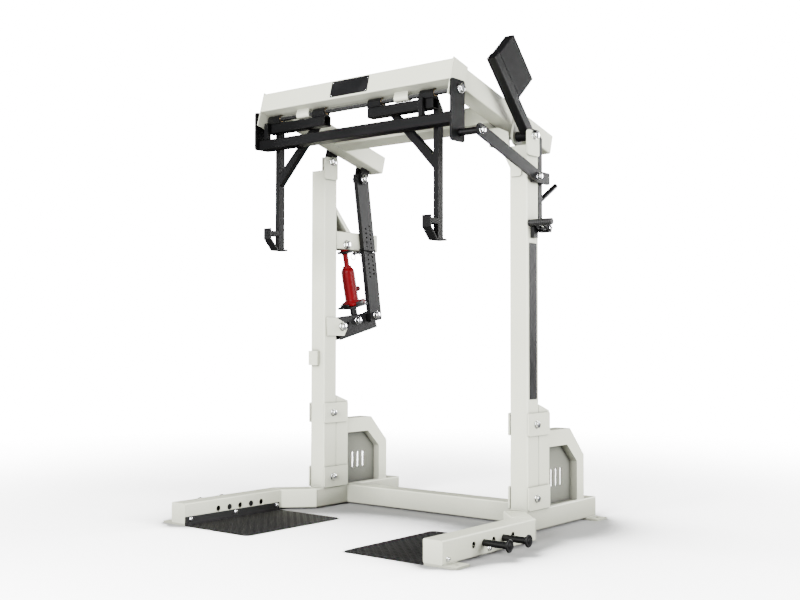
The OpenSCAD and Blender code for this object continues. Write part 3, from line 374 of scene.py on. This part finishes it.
class Shape:
    """A mesh under construction from turned, swept and boxed forms."""

    def __init__(self):
        self.bm = bmesh.new()

    def ring(self, points):
        return [self.bm.verts.new(Vector(p) * MM) for p in points]

    def skin(self, rings, closed=False):
        pairs = list(zip(rings, rings[1:])) + ([(rings[-1], rings[0])] if closed else [])
        for low, high in pairs:
            count = len(low)
            for i in range(count):
                j = (i + 1) % count
                self.bm.faces.new((low[i], low[j], high[j], high[i]))
        if not closed:
            self.bm.faces.new(list(reversed(rings[0])))
            self.bm.faces.new(rings[-1])

    def turned(self, start, axis, profile, sides, flats=0.0, turn=0.0):
        """Turns a profile of (distance, radius) about an axis; flats cuts a hexagon so wide."""
        axis = Vector(axis).normalized()
        side = axis.orthogonal().normalized() if abs(axis.x) < 0.9 else Vector((0, 1, 0))
        other = axis.cross(side)
        rings = []
        for distance, radius in profile:
            points = []
            for i in range(sides):
                angle = 2 * math.pi * i / sides + turn
                size = radius
                if flats:
                    wedge = (angle - turn + math.pi / 6) % (math.pi / 3) - math.pi / 6
                    size = min(radius, flats / 2 / math.cos(wedge))
                points.append(Vector(start) + axis * distance
                              + (side * math.cos(angle) + other * math.sin(angle)) * size)
            rings.append(self.ring(points))
        self.skin(rings)

    def hexagon(self, start, axis, width, height, turn, both=False):
        """Hexagon head, or with both a nut, with chamfered corners."""
        corner = width / 2 / math.cos(math.pi / 6)
        low = corner if not both else width * 0.485
        profile = [(0, low), (height * (0.12 if both else 0.02), corner), (height * 0.84, corner),
                   (height * 0.94, width * 0.505), (height, width * 0.465)]
        self.turned(start, axis, profile, 48, width, turn)

    def washer(self, start, axis, radius, thick):
        self.turned(start, axis, [(0, radius - 0.3), (0.3, radius), (thick - 0.5, radius),
                                  (thick, radius - 0.6)], 48)

    def thread(self, start, axis, radius, length, pitch=2.5):
        """Stub of thread with a chamfered end."""
        profile = [(0, radius - 0.2)]
        place = 0.2
        while place < length - pitch:
            profile += [(place, radius - 1.0), (place + pitch / 2, radius)]
            place += pitch
        profile += [(length - 1.4, radius - 0.2), (length, radius - 1.6)]
        self.turned(start, axis, profile, 32)

    def bolt(self, x0, x1, y, z, d):
        """Hexagon bolt along X: head and washer outside x1, nut and washer outside x0."""
        washer, head, nut = d * 0.14, d * 0.62, d * 0.8
        self.turned((x0 - washer, y, z), X,
                    [(0, d / 2 - 0.1), (x1 - x0 + 2 * washer, d / 2 - 0.1)], 32)
        self.washer((x1, y, z), X, d * 0.975, washer)
        self.washer((x0, y, z), BACK_X, d * 0.975, washer)
        self.hexagon((x1 + washer, y, z), X, d * 1.5, head, 0.3)
        self.hexagon((x0 - washer, y, z), BACK_X, d * 1.5, nut, 0.1, both=True)
        self.thread((x0 - washer - nut + 0.2, y, z), BACK_X, d / 2, d * 0.15 + 0.2)

    def box(self, low, high, round_by, place):
        made = bmesh.ops.create_cube(self.bm, size=1.0)["verts"]
        for v in made:
            v.co = Vector([low[i] + (v.co[i] + 0.5) * (high[i] - low[i]) for i in range(3)]) * MM
        edges = {e for v in made for e in v.link_edges}
        result = bmesh.ops.bevel(self.bm, geom=list(edges), offset=round_by * MM, segments=2,
                                 profile=0.5, affect="EDGES")
        kept = {v for v in made if v.is_valid}
        bmesh.ops.transform(self.bm, matrix=place, verts=list(set(result["verts"]) | kept))

    def slab(self, outline, thick, place, round_by):
        """Flat plate: a closed outline in two axes, made thick and eased on its edges."""
        low = [self.bm.verts.new(place @ Vector((a * MM, b * MM, 0))) for a, b in outline]
        high = [self.bm.verts.new(place @ Vector((a * MM, b * MM, thick * MM))) for a, b in outline]
        count = len(low)
        made = [self.bm.faces.new(list(reversed(low))), self.bm.faces.new(high)]
        for i in range(count):
            j = (i + 1) % count
            made.append(self.bm.faces.new((low[i], low[j], high[j], high[i])))
        rim = {e for f in made[:2] for e in f.edges}
        bmesh.ops.bevel(self.bm, geom=list(rim), offset=round_by * MM, segments=2, profile=0.5,
                        affect="EDGES")

    def rod(self, points, radius, sides, closed=False, ripple=0.0):
        """Round bar along a path; ripple swells it at every other point, as in a weld."""
        path = [Vector(p) for p in points]
        count = len(path)
        rings, normal = [], None
        for i, p in enumerate(path):
            before = path[(i - 1) % count] if closed or i else path[0]
            after = path[(i + 1) % count] if closed or i < count - 1 else path[-1]
            axis = (after - before).normalized()
            if normal is None:
                normal = axis.orthogonal().normalized()
            normal = (normal - axis * normal.dot(axis)).normalized()
            other = axis.cross(normal)
            size = radius * (1 + (ripple if i % 2 else -ripple))
            rings.append(self.ring([p + (normal * a + other * b) * size
                                    for a, b in circle(1, sides)]))
        self.skin(rings, closed)

    def weld(self, corners, radius, closed=False):
        """Rippled fillet bead along straight runs between corners."""
        ends = [Vector(c) for c in corners] + ([Vector(corners[0])] if closed else [])
        path = []
        for a, b in zip(ends, ends[1:]):
            steps = max(2, int((b - a).length / WELD_PITCH))
            path += [a.lerp(b, k / steps) for k in range(steps)]
        if not closed:
            path.append(ends[-1])
        self.rod(path, radius, 7, closed, WELD_RIPPLE)

    def weld_frame(self, centre, across, up, half_across, half_up, radius=3.0):
        """Bead all round the end of a tube."""
        c, u, v = Vector(centre), Vector(across).normalized(), Vector(up).normalized()
        points = []
        for su, sv in ((1, 1), (-1, 1), (-1, -1), (1, -1)):
            a = c + u * su * half_across + v * sv * (half_up - TUBE_CORNER)
            b = c + u * su * (half_across - TUBE_CORNER) + v * sv * half_up
            points += [a, b] if su * sv > 0 else [b, a]
        self.weld(points, radius, True)

    def piece(self, name, material, body, replaced=(), smooth=40.0):
        """Makes the object, lets it ride on its body and names its paint or metal."""
        bmesh.ops.recalc_face_normals(self.bm, faces=self.bm.faces)
        mesh = bpy.data.meshes.new(name)
        self.bm.to_mesh(mesh)
        self.bm.free()
        mesh.polygons.foreach_set("use_smooth", [True] * len(mesh.polygons))
        mesh.set_sharp_from_angle(angle=math.radians(smooth))
        mesh.materials.append(material)
        made = bpy.data.objects.new(name, mesh)
        bpy.context.scene.collection.objects.link(made)
        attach(made, body)
        if replaced:
            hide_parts(*replaced)


def on_frame(x, s, t):
    """A point of the tilting top frame, given along and square to its arms."""
    return (x, PIVOT[0] + s * math.cos(TILT) + t * math.sin(TILT),
            PIVOT[1] - s * math.sin(TILT) + t * math.cos(TILT))


FRAME_ALONG = (0, math.cos(TILT), -math.sin(TILT))
FRAME_UP = (0, math.sin(TILT), math.cos(TILT))


# Bolts and pins

def make_bolts():
    stand = Shape()
    stand.bolt(-637.4, -PLATE_IN, *PIVOT, PIVOT_BOLT)
    stand.bolt(499.8, PLATE_OUT, *PIVOT, PIVOT_BOLT)
    stand.bolt(-665.4, -PLATE_IN, *LEVER_BASE, PIVOT_BOLT)
    stand.bolt(-POST_OUT, -POST_IN, *JACK_TOP, PIVOT_BOLT)
    stand.turned((POST_OUT, *LOCK), X, [(0, 8), (80, 8)], 28)
    stand.hexagon((745, *LOCK), X, 26, 39, 0.2, both=True)
    stand.washer((794, *LOCK), X, 13, 4)
    stand.thread((798, *LOCK), X, 8, 5, 2.0)
    stand.piece("stand_bolts", zinc, "stand", ["pivot_bolts"])

    clamps = Shape()
    y = 169
    for z in (167, 524):
        clamps.bolt(PLATE_IN, PLATE_OUT, y, z, CLAMP_BOLT)
        for x, way in ((-PLATE_IN, 1), (-PLATE_OUT, -1)):
            clamps.washer((x, y, z), (way, 0, 0), 18.5, 2.7)
        clamps.turned((-728, y, z), X, [(0, 9.4), (127, 9.4)], 28)
        clamps.hexagon((-600.7, y, z), X, 28.5, 15.2, 0.1, both=True)
        clamps.thread((-585.7, y, z), X, 9.5, 3.0)
        clamps.hexagon((-727.7, y, z), BACK_X, 28.5, 11.8, 0.3)
    clamps.piece("stub_clamp_bolts", zinc, "stand", ["clamp_bolts"])

    top = Shape()
    top.bolt(-624.4, -573.4, *LINK_TOP, PIVOT_BOLT)
    top.piece("lift_link_top_bolt", zinc, "top_frame", ["link_top_bolt"])

    lever = Shape()
    lever.bolt(-654.4, LIFT_LINK_X, *LINK_LOW, PIVOT_BOLT)
    lever.bolt(-654.4, -614.4, *JACK_FOOT, PIVOT_BOLT)
    lever.piece("lift_lever_bolts", zinc, "lift_lever", ["lift_link_bolt"])

    front = Shape()
    front.bolt(621, 747.4, SHAFT[0], FRONT_LINK_Z, LINK_BOLT)
    front.piece("front_link_through_bolt", zinc, "front_link_bolt", ["link_front_bolt"])
    spacer = Shape()
    spacer.turned((631, SHAFT[0], FRONT_LINK_Z), X,
                  [(0, 16.2), (0.8, 17), (103.6, 17), (104.4, 16.2)], 40)
    spacer.piece("front_link_spacer", dark_steel, "front_link_bolt")

    rear = Shape()
    place = (PIVOT[0], REAR_LINK_Z)
    rear.turned((718, *place), X, [(0, 9.95), (32, 9.95)], 28)
    rear.turned((732, *place), X, [(0, 16.2), (0.6, 17), (2.8, 17), (3.4, 16.2)], 40)
    rear.washer((747.4, *place), X, 19, 3)
    rear.hexagon((750.4, *place), X, 29.4, 13, 0.4)
    rear.piece("rear_link_bolt_and_washer", zinc, "release_lever", ["link_rear_bolt"])

    treads = Shape()
    z = 31
    for side in (-1, 1):
        face = side * TREAD_FACE
        away, inward = (side, 0, 0), (-side, 0, 0)
        for y in (-735, -431, -128):
            treads.turned((side * 742, y, z), away, [(0, 6), (120, 6)], 24)
            treads.washer((face, y, z), inward, 11, 3)
            treads.turned((face - side * 3, y, z), inward,
                          [(0, 9.0), (1.2, 8.8), (2.4, 7.6), (3.0, 5.2)], 32)
            treads.washer((side * FOOT_OUT, y, z), away, 11, 2)
            treads.hexagon((side * (FOOT_OUT + 2), y, z), away, 16.4, 8, 0.2, both=True)
    treads.piece("tread_plate_screws", zinc, "stand", ["tread_plate_bolts"])

    shaft = Shape()
    left_end, right_end = -651, 632
    shaft.turned((left_end, *SHAFT), X, [(0, 14), (right_end - left_end, 14)], 48)
    shaft.turned((-639.7, *SHAFT), X, [(0, 21.2), (0.8, 22), (17.9, 22), (18.7, 21.2)], 48)
    for x, way in ((right_end, 1), (left_end, -1)):
        shaft.washer((x, *SHAFT), (way, 0, 0), 25, 4)
        shaft.hexagon((x + 4 * way, *SHAFT), (way, 0, 0), 36.4, 12, 0.25)
    shaft.piece("ground_hook_shaft", shaft_steel, "hook_shaft", ["hook_shaft"])


# Tread plates with raised lozenges

LOZENGE_PITCH = 24.0
TREAD_LENGTH, TREAD_WIDTH = 660, 448
TREAD_FRONT, TREAD_TOP = -770, 4.9
LOZENGE_FOOT, LOZENGE_CROWN, LOZENGE_RISE = (9.5, 3.4), (5.6, 1.5), 1.6


def make_tread_pattern():
    rows = int(TREAD_LENGTH / LOZENGE_PITCH)
    columns = int(TREAD_WIDTH / LOZENGE_PITCH)
    for side, name in ((-1, "left_tread_lozenges"), (1, "right_tread_lozenges")):
        shape = Shape()
        for row in range(rows):
            for column in range(columns):
                if column == columns - 1 and row in (0, rows - 1):
                    continue
                y = TREAD_FRONT + 14 + row * LOZENGE_PITCH
                x = TREAD_FACE - 16 - column * LOZENGE_PITCH
                lean = math.pi / 4 if (row + column) % 2 else -math.pi / 4
                u = Vector((math.cos(lean), math.sin(lean), 0))
                v = Vector((-math.sin(lean), math.cos(lean), 0))
                foot_at = Vector((side * x, y, TREAD_TOP))
                crown_at = foot_at + Vector((0, 0, LOZENGE_RISE))
                rings = []
                for at, (long, wide) in ((foot_at, LOZENGE_FOOT), (crown_at, LOZENGE_CROWN)):
                    rings.append(shape.ring([at + u * (long * a) + v * (wide * b)
                                             for a, b in circle(1, 8)]))
                shape.skin(rings)
        shape.piece(name, tread_black, "stand", smooth=25.0)


# Band pegs

def make_pegs():
    shape = Shape()
    for side in (-1, 1):
        for y in (-469.8, -317.4):
            shape.turned((side * 749.9, y, 62), (side, 0, 0),
                         [(0, 14.2), (0.8, 15), (229.6, 15), (230.1, 15), (230.1, 26.5),
                          (231.6, 28.5), (234.6, 28.5), (236.6, 26.8), (237.0, 24.5),
                          (236.4, 23.5), (236.4, 9), (237.0, 8), (237.1, 5)], 56)
    shape.piece("turned_band_pegs", black, "stand", ["band_pegs"])


# Bottle jack, drawn upright from its foot bolt and then leaned

JACK_LEAN = math.radians(13.031)


def jack_point(x, y, z):
    return (JACK_X + x, JACK_FOOT[0] + y * math.cos(JACK_LEAN) - z * math.sin(JACK_LEAN),
            JACK_FOOT[1] + y * math.sin(JACK_LEAN) + z * math.cos(JACK_LEAN))


JACK_UP = (0, -math.sin(JACK_LEAN), math.cos(JACK_LEAN))
JACK_REAR = (0, math.cos(JACK_LEAN), math.sin(JACK_LEAN))
JACK_FRONT = tuple(-v for v in JACK_REAR)
leaned = Matrix.Rotation(JACK_LEAN, 4, "X")


def jack_shift(x):
    return Matrix.Translation(Vector(jack_point(x, 0, 0)) * MM)


jack_place = jack_shift(0) @ leaned


def make_jack():
    body = Shape()
    foot = jack_point(0, 0, 0)
    body.turned(foot, JACK_UP, [
        (96, 41.5), (98, 43.5), (117, 43.5), (121, 40), (124, 38.6), (128, 38.2), (282, 38.2),
        (292, 37.0), (301, 33.5), (306, 29.0), (309, 25.5), (311, 25.2), (318, 25.2),
        (320, 24.0), (320.5, 20), (320.5, 16.2)], 64)
    body.box((-44, -45, 92.4), (44, 66, 112), 5, jack_place)
    body.turned(jack_point(-28, 55, 92.4), JACK_UP,
                [(0, 15), (2, 16), (26, 16), (29, 14.2), (31, 14), (31.4, 11.5)], 40)
    body.turned(jack_point(28, 40, 105), JACK_REAR, [(0, 12), (24, 12), (26, 11), (27.5, 8.5)], 36)
    body.turned(jack_point(0, -38, 262), JACK_FRONT, [(0, 7), (1.6, 7), (2.6, 6.2), (3.0, 4)], 28)
    body.piece("jack_cylinder_casting", red, "jack", ["jack_body"])

    ram = Shape()
    ram.turned(foot, JACK_UP, [(300, 15.4), (384, 15.4), (385, 17.5), (394, 17.5)], 48)
    eye = 443.4
    crown = [(a, eye + b) for a, b in circle(20, 24)[1:12]]
    ram.slab([(-20, 400), (20, 400), (20, eye)] + crown + [(-20, eye)], 28,
             jack_shift(-14) @ leaned @ ON_SIDE, 1.2)
    ram.piece("jack_ram_and_lug", red, "jack_ram", ["jack_ram"])
    cap = Shape()
    cap.box((-36, -25, 393.6), (36, 25, 407.6), 2.5, jack_place)
    cap.piece("ram_cap_plate", black, "jack_ram")

    pump = Shape()
    at = jack_point(-28, 55, 0)
    pump.turned(at, JACK_UP,
                [(105, 8.5), (123, 8.5), (123, 9.9), (150, 9.9), (152, 9.0), (163, 9.0)], 36)
    socket = jack_point(-28, 41, 171)
    pump.turned(socket, JACK_REAR,
                [(0, 13), (1.5, 15), (60.5, 15), (62, 14.4), (62, 11.4), (22, 11), (20, 6)], 40)
    pump.turned(jack_point(-46, 55, 158), X, [(0, 5), (1.2, 6), (34.8, 6), (36, 5)], 24)
    pump.piece("jack_pump_and_socket", red, "pump_socket", ["pump_socket"])

    valve = Shape()
    valve.turned(jack_point(28, 49.5, 105), JACK_REAR,
                 [(0, 6), (22, 6), (22.4, 7.4), (24, 9.8), (30, 9.8), (30.4, 8.8)], 32)
    for x in (18, 28):
        valve.box((x, 74.0, 102.6), (x + 10, 79.4, 107.4), 1, jack_place)
    valve.piece("release_valve_screw", zinc, "release_valve", ["release_valve"])

    base = Shape()
    base.box((-50, -76, 80), (50, 76, 91.9), 1.5, jack_place)
    base.box((-9.5, -20, 12), (9.5, 20, 80.2), 1.2, jack_place)
    base.slab(circle(22, 36), 19, jack_shift(-9.5) @ ON_SIDE, 1.0)
    for x in (-50, 45.3):
        base.box((x, -20, 91.6), (x + 4.7, 40, 112), 1, jack_place)
    for y in (-72, 64):
        base.box((-30, y, 91.6), (30, y + 8, 107), 1.5, jack_place)
    for x in (-9.7, 9.7):
        base.weld([jack_point(x, -20, 80), jack_point(x, 20, 80)], 3)
    base.piece("jack_seat_weldment", black, "jack", ["jack_base"])


# Hitch pin with its pull ring and wire clip

def make_hitch_pin():
    low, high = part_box("hitch_pin")
    y = (low[1] + high[1]) / 2 / MM
    pin_z = 1441.7
    pull_end = -733
    reach = LIFT_LINK_X - pull_end
    shape = Shape()
    shape.turned((pull_end, y, pin_z), X, [(0, 4.5), (1.2, 6), (reach + 9, 6), (reach + 9, 5),
                                           (reach + 12, 4.6), (reach + 13, 3)], 28)
    shape.turned((-723, y, pin_z), X, [(0, 11), (1, 12), (5, 12), (6, 11)], 36)
    ring = [(-729, y + a, pin_z - 19 + b) for a, b in circle(19, 48)]
    shape.rod(ring, 2.0, 10, True)
    shape.piece("hitch_pin_and_ring", zinc, "hitch_pin", ["hitch_pin"])
    clip = Shape()
    wire_x = LIFT_LINK_X + 4.5
    path = [(wire_x - 0.5, y + 3, pin_z + 7), (wire_x, y - 6, pin_z + 7.4),
            (wire_x, y - 64, pin_z + 7)]
    loop = [(wire_x, y - 96 + 21 * math.cos(a), pin_z - 6 + 25 * math.sin(a))
            for a in (math.pi / 4 + k * math.pi / 11 for k in range(21))]
    clip.rod(path + loop, 2.8, 8)
    clip.piece("hitch_pin_wire_clip", black, "hitch_pin")


# Weld beads

UP = (0, 0, 1)
MITRE = math.radians(22.5)


def make_welds():
    base = Shape()
    tube_z = 60.8
    for side in (-1, 1):
        for y in (154.8, 256.4):
            base.weld_frame((side * POST_X, y, 112.4), X, (0, 1, 0), HALF + 0.5, HALF + 0.5)
        base.weld_frame((side * 612.6, 354.8, tube_z), (0, 1, 0), UP, HALF + 0.5, HALF + 0.5)
        for x, y in ((802.2, -71), (POST_X, 67)):
            base.weld_frame((side * x, y, tube_z), (side * math.cos(MITRE), math.sin(MITRE), 0), UP,
                            HALF / math.cos(MITRE) - 0.4, HALF - 0.4, radius=2.2)
        for x in (side * (POST_OUT - 2), side * (POST_IN + 2)):
            base.weld([(x, 206, 116), (x, 206, 600)], 2.4)
        for x in (side * (POST_X - 42), side * (POST_X + 42)):
            base.weld([(x, 309, 112), (x, 660, 112)], 2.4)
            base.weld([(x, BEHIND_STUB_Y, 112), (x, BEHIND_STUB_Y, 484)], 2.2)
        for x, y in ((side * (FOOT_OUT + 0.4), -719), (side * (POST_OUT + 0.4), 719)):
            base.weld([(x, y - 47, 11), (x, y + 47, 11)], 2.6)
    base.weld_frame((-POST_X, BEHIND_POST_Y, 1498), X, UP, HALF + 0.4, HALF - 0.4)
    for y, z in ((BEHIND_POST_Y, 1679), (326, 1548.6)):
        base.weld([(-714, y, z), (-615, y, z)], 2.6)
    face = -POST_IN + 0.6
    base.weld([(face, 208, 955.5), (face, 208, 1057)], 2.4)
    base.weld([(face, 118, 1059), (face, 200, 1057)], 2.4)
    base.piece("stand_weld_beads", ivory, "stand", smooth=60.0)

    top = Shape()
    for side in (-1, 1):
        top.weld_frame(on_frame(side * 563.6, -480.8, ARM_RISE), X, FRAME_UP,
                       HALF + 0.4, HALF + 0.4, radius=2.6)
        top.weld_frame(on_frame(side * 512.2, -52.8, ARM_RISE), FRAME_ALONG, FRAME_UP,
                       HALF + 0.4, HALF + 0.4, radius=2.8)
        top.weld([on_frame(side * 614.2, -582, 148.6), on_frame(side * 614.2, -481, 148.6)], 2.2)
    for x0, x1 in ((-397, -312), (250, 335)):
        for s in (-532.9, -493.1):
            top.weld([on_frame(x0 + 2, s, 46.6), on_frame(x1 - 2, s, 46.6)], 2.4)
    top.piece("top_frame_weld_beads", ivory, "top_frame", smooth=60.0)
    lugs = Shape()
    lugs.weld([on_frame(-614.8, -44, 60), on_frame(-614.8, -44, 115), on_frame(-614.8, 44, 115),
               on_frame(-614.8, 44, 60)], 2.4)
    lugs.weld([on_frame(-573.2, 219, 46.6), on_frame(-573.2, 279, 46.6)], 2.4)
    lugs.piece("lug_weld_beads", black, "top_frame", smooth=60.0)

    y0, z0 = SHAFT
    for side, middle, body in ((-1, -401.5, "left_hook"), (1, 286.5, "right_hook")):
        hook = Shape()
        for end in (-1, 1):
            edge = middle + end * 200.5
            inner = edge - end * 82
            a, b = sorted((edge, inner))
            for y in (y0 - 22, y0 + 22):
                hook.weld([(a + 1, y, z0 - 25), (b - 1, y, z0 - 25)], 2.6)
            for x in (a, b):
                hook.weld([(x, y0 - 21, z0 - 25), (x, y0 + 21, z0 - 25)], 2.4)
        bar = middle + side * 165.5
        bar_out = middle + side * 193.5
        for x in (bar, bar_out):
            hook.weld([(x, y0 + 31.6, z0 - 27), (x, y0 + 31.6, z0 - 74)], 2.4)
        for y in (y0 + 33, y0 + 65):
            hook.weld([(bar - side * 0.4, y, z0 - 332), (bar - side * 0.4, y, z0 - 350)], 2.2)
        for x in (bar_out, bar):
            hook.weld([(x, y0 + 30, z0 - 681), (x, y0 + 70, z0 - 681)], 2.2)
        hook.piece(body + "_weld_beads", black, body, smooth=60.0)


# Face plate rivets and the latch's grip sleeve

FACE_PLATE_X, RIVET_OUT, RIVET_UP = -6, 113, 34


def make_trim():
    rivets = Shape()
    for x in (FACE_PLATE_X - RIVET_OUT, FACE_PLATE_X + RIVET_OUT):
        for t in (ARM_RISE - RIVET_UP, ARM_RISE + RIVET_UP):
            rivets.turned(on_frame(x, -585.4, t), tuple(-c for c in FRAME_ALONG),
                          [(0, 4.6), (0.8, 4.4), (1.6, 3.4), (2.0, 1.6)], 24)
    rivets.piece("face_plate_rivets", zinc, "top_frame")
    grip = Shape()
    profile = [(0, 14.0), (1, 16)]
    for k in range(11):
        z = 6 + k * 10.4
        profile += [(z, 16.1), (z + 1.2, 15.2), (z + 2.6, 15.2), (z + 3.8, 16.1)]
    profile += [(124, 16), (125.2, 14.5), (125.4, 9)]
    grip.turned((718, 120, 1503), X, profile, 44)
    grip.piece("latch_grip_sleeve", rubber, "lock_latch")


make_bolts()
make_tread_pattern()
make_pegs()
make_jack()
make_hitch_pin()
make_welds()
make_trim()


# Floor and light

WORLD_LOW, WORLD_TOP, WORLD_SIDE, BACKDROP = 0.10, 0.12, 10.5, 17.0
WORLD_SIDE_WAY = (0.62, 0.77, 0.1)
FLOOR_SEEN, FLOOR_BOUNCE = 3.0, 0.10
FLOOR_RADIUS, FLOOR_FADE = 8, (1.8, 6.5)
SHADE_REACH, SHADE_SAMPLES = 2.0, 64


def pale_floor():
    """Pale floor, with painted shadow under the stand, that fades into the backdrop a few metres
    away.

    It is bright to the camera and dark to the stand, so that little light comes from below."""
    f = Finish("studio_floor")
    dust = f.noise(3.0, 5.0)
    away = f.node("ShaderNodeVectorMath", {"operation": "LENGTH"}, f.place(), output="Value")
    seen = f.node("ShaderNodeLightPath", output="Is Camera Ray")
    pale = f.mix(dust, grey(FLOOR_SEEN), grey(FLOOR_SEEN * 1.03))
    # Painted shadow: the floor darkens near and under the stand, by ambient occlusion
    under = 1.0 - f.open_air(SHADE_REACH, SHADE_SAMPLES).step(0.75, 1.0)
    pale = f.mix(under * 0.9, pale, grey(0.05))
    base = f.mix(seen, grey(FLOOR_BOUNCE), pale)
    f.surface(Base_Color=base, Roughness=0.6 + dust * 0.05, Alpha=1.0 - away.step(*FLOOR_FADE))
    return f.surface(Specular_IOR_Level=0.0)


def studio_light():
    """White backdrop; the stand is lit faintly all round and strongly from the right rear."""
    world = bpy.data.worlds.new("studio")
    bpy.context.scene.world = world
    f = Finish("studio", world)
    way = f.node("ShaderNodeTexCoord", output="Generated")
    height, side = [
        f.node("ShaderNodeVectorMath", {"operation": "DOT_PRODUCT"}, way, toward, output="Value")
        for toward in ((0.0, 0.0, 1.0), WORLD_SIDE_WAY)]
    f.put(f.shader.inputs["Strength"],
          WORLD_LOW + height.step(0.1, 0.8) * WORLD_TOP + side.step(0.8, 0.98) * WORLD_SIDE)
    backdrop = f.node("ShaderNodeBackground", {}, (1.0, 1.0, 1.0, 1.0), BACKDROP)
    seen = f.node("ShaderNodeLightPath", output="Is Camera Ray")
    light = Socket(f, f.shader.outputs[0])
    f.put(f.nodes["World Output"].inputs["Surface"],
          f.node("ShaderNodeMixShader", {}, seen, light, backdrop))


rim = [(a, b, 0) for a, b in circle(FLOOR_RADIUS, 48)]
floor_mesh = bpy.data.meshes.new("studio_floor")
floor_mesh.from_pydata(rim, [], [tuple(range(len(rim)))])
floor = bpy.data.objects.new("studio_floor", floor_mesh)
bpy.context.scene.collection.objects.link(floor)
floor_mesh.materials.append(pale_floor())

studio_light()
area_light("key_light", (1.0, -6.5, 2.1), (0, 0, 1.0), (3.4, 3.2), 1640)
area_light("side_light", (6.3, 1.2, 1.8), (0, 0, 1.2), (3.0, 2.6), 860)
area_light("left_light", (-6.5, -0.8, 2.2), (0, 0, 1.1), (2.4, 2.4), 480)
area_light("rear_light", (1.6, 6.6, 2.4), (0, 0, 1.1), (2.4, 2.4), 480)
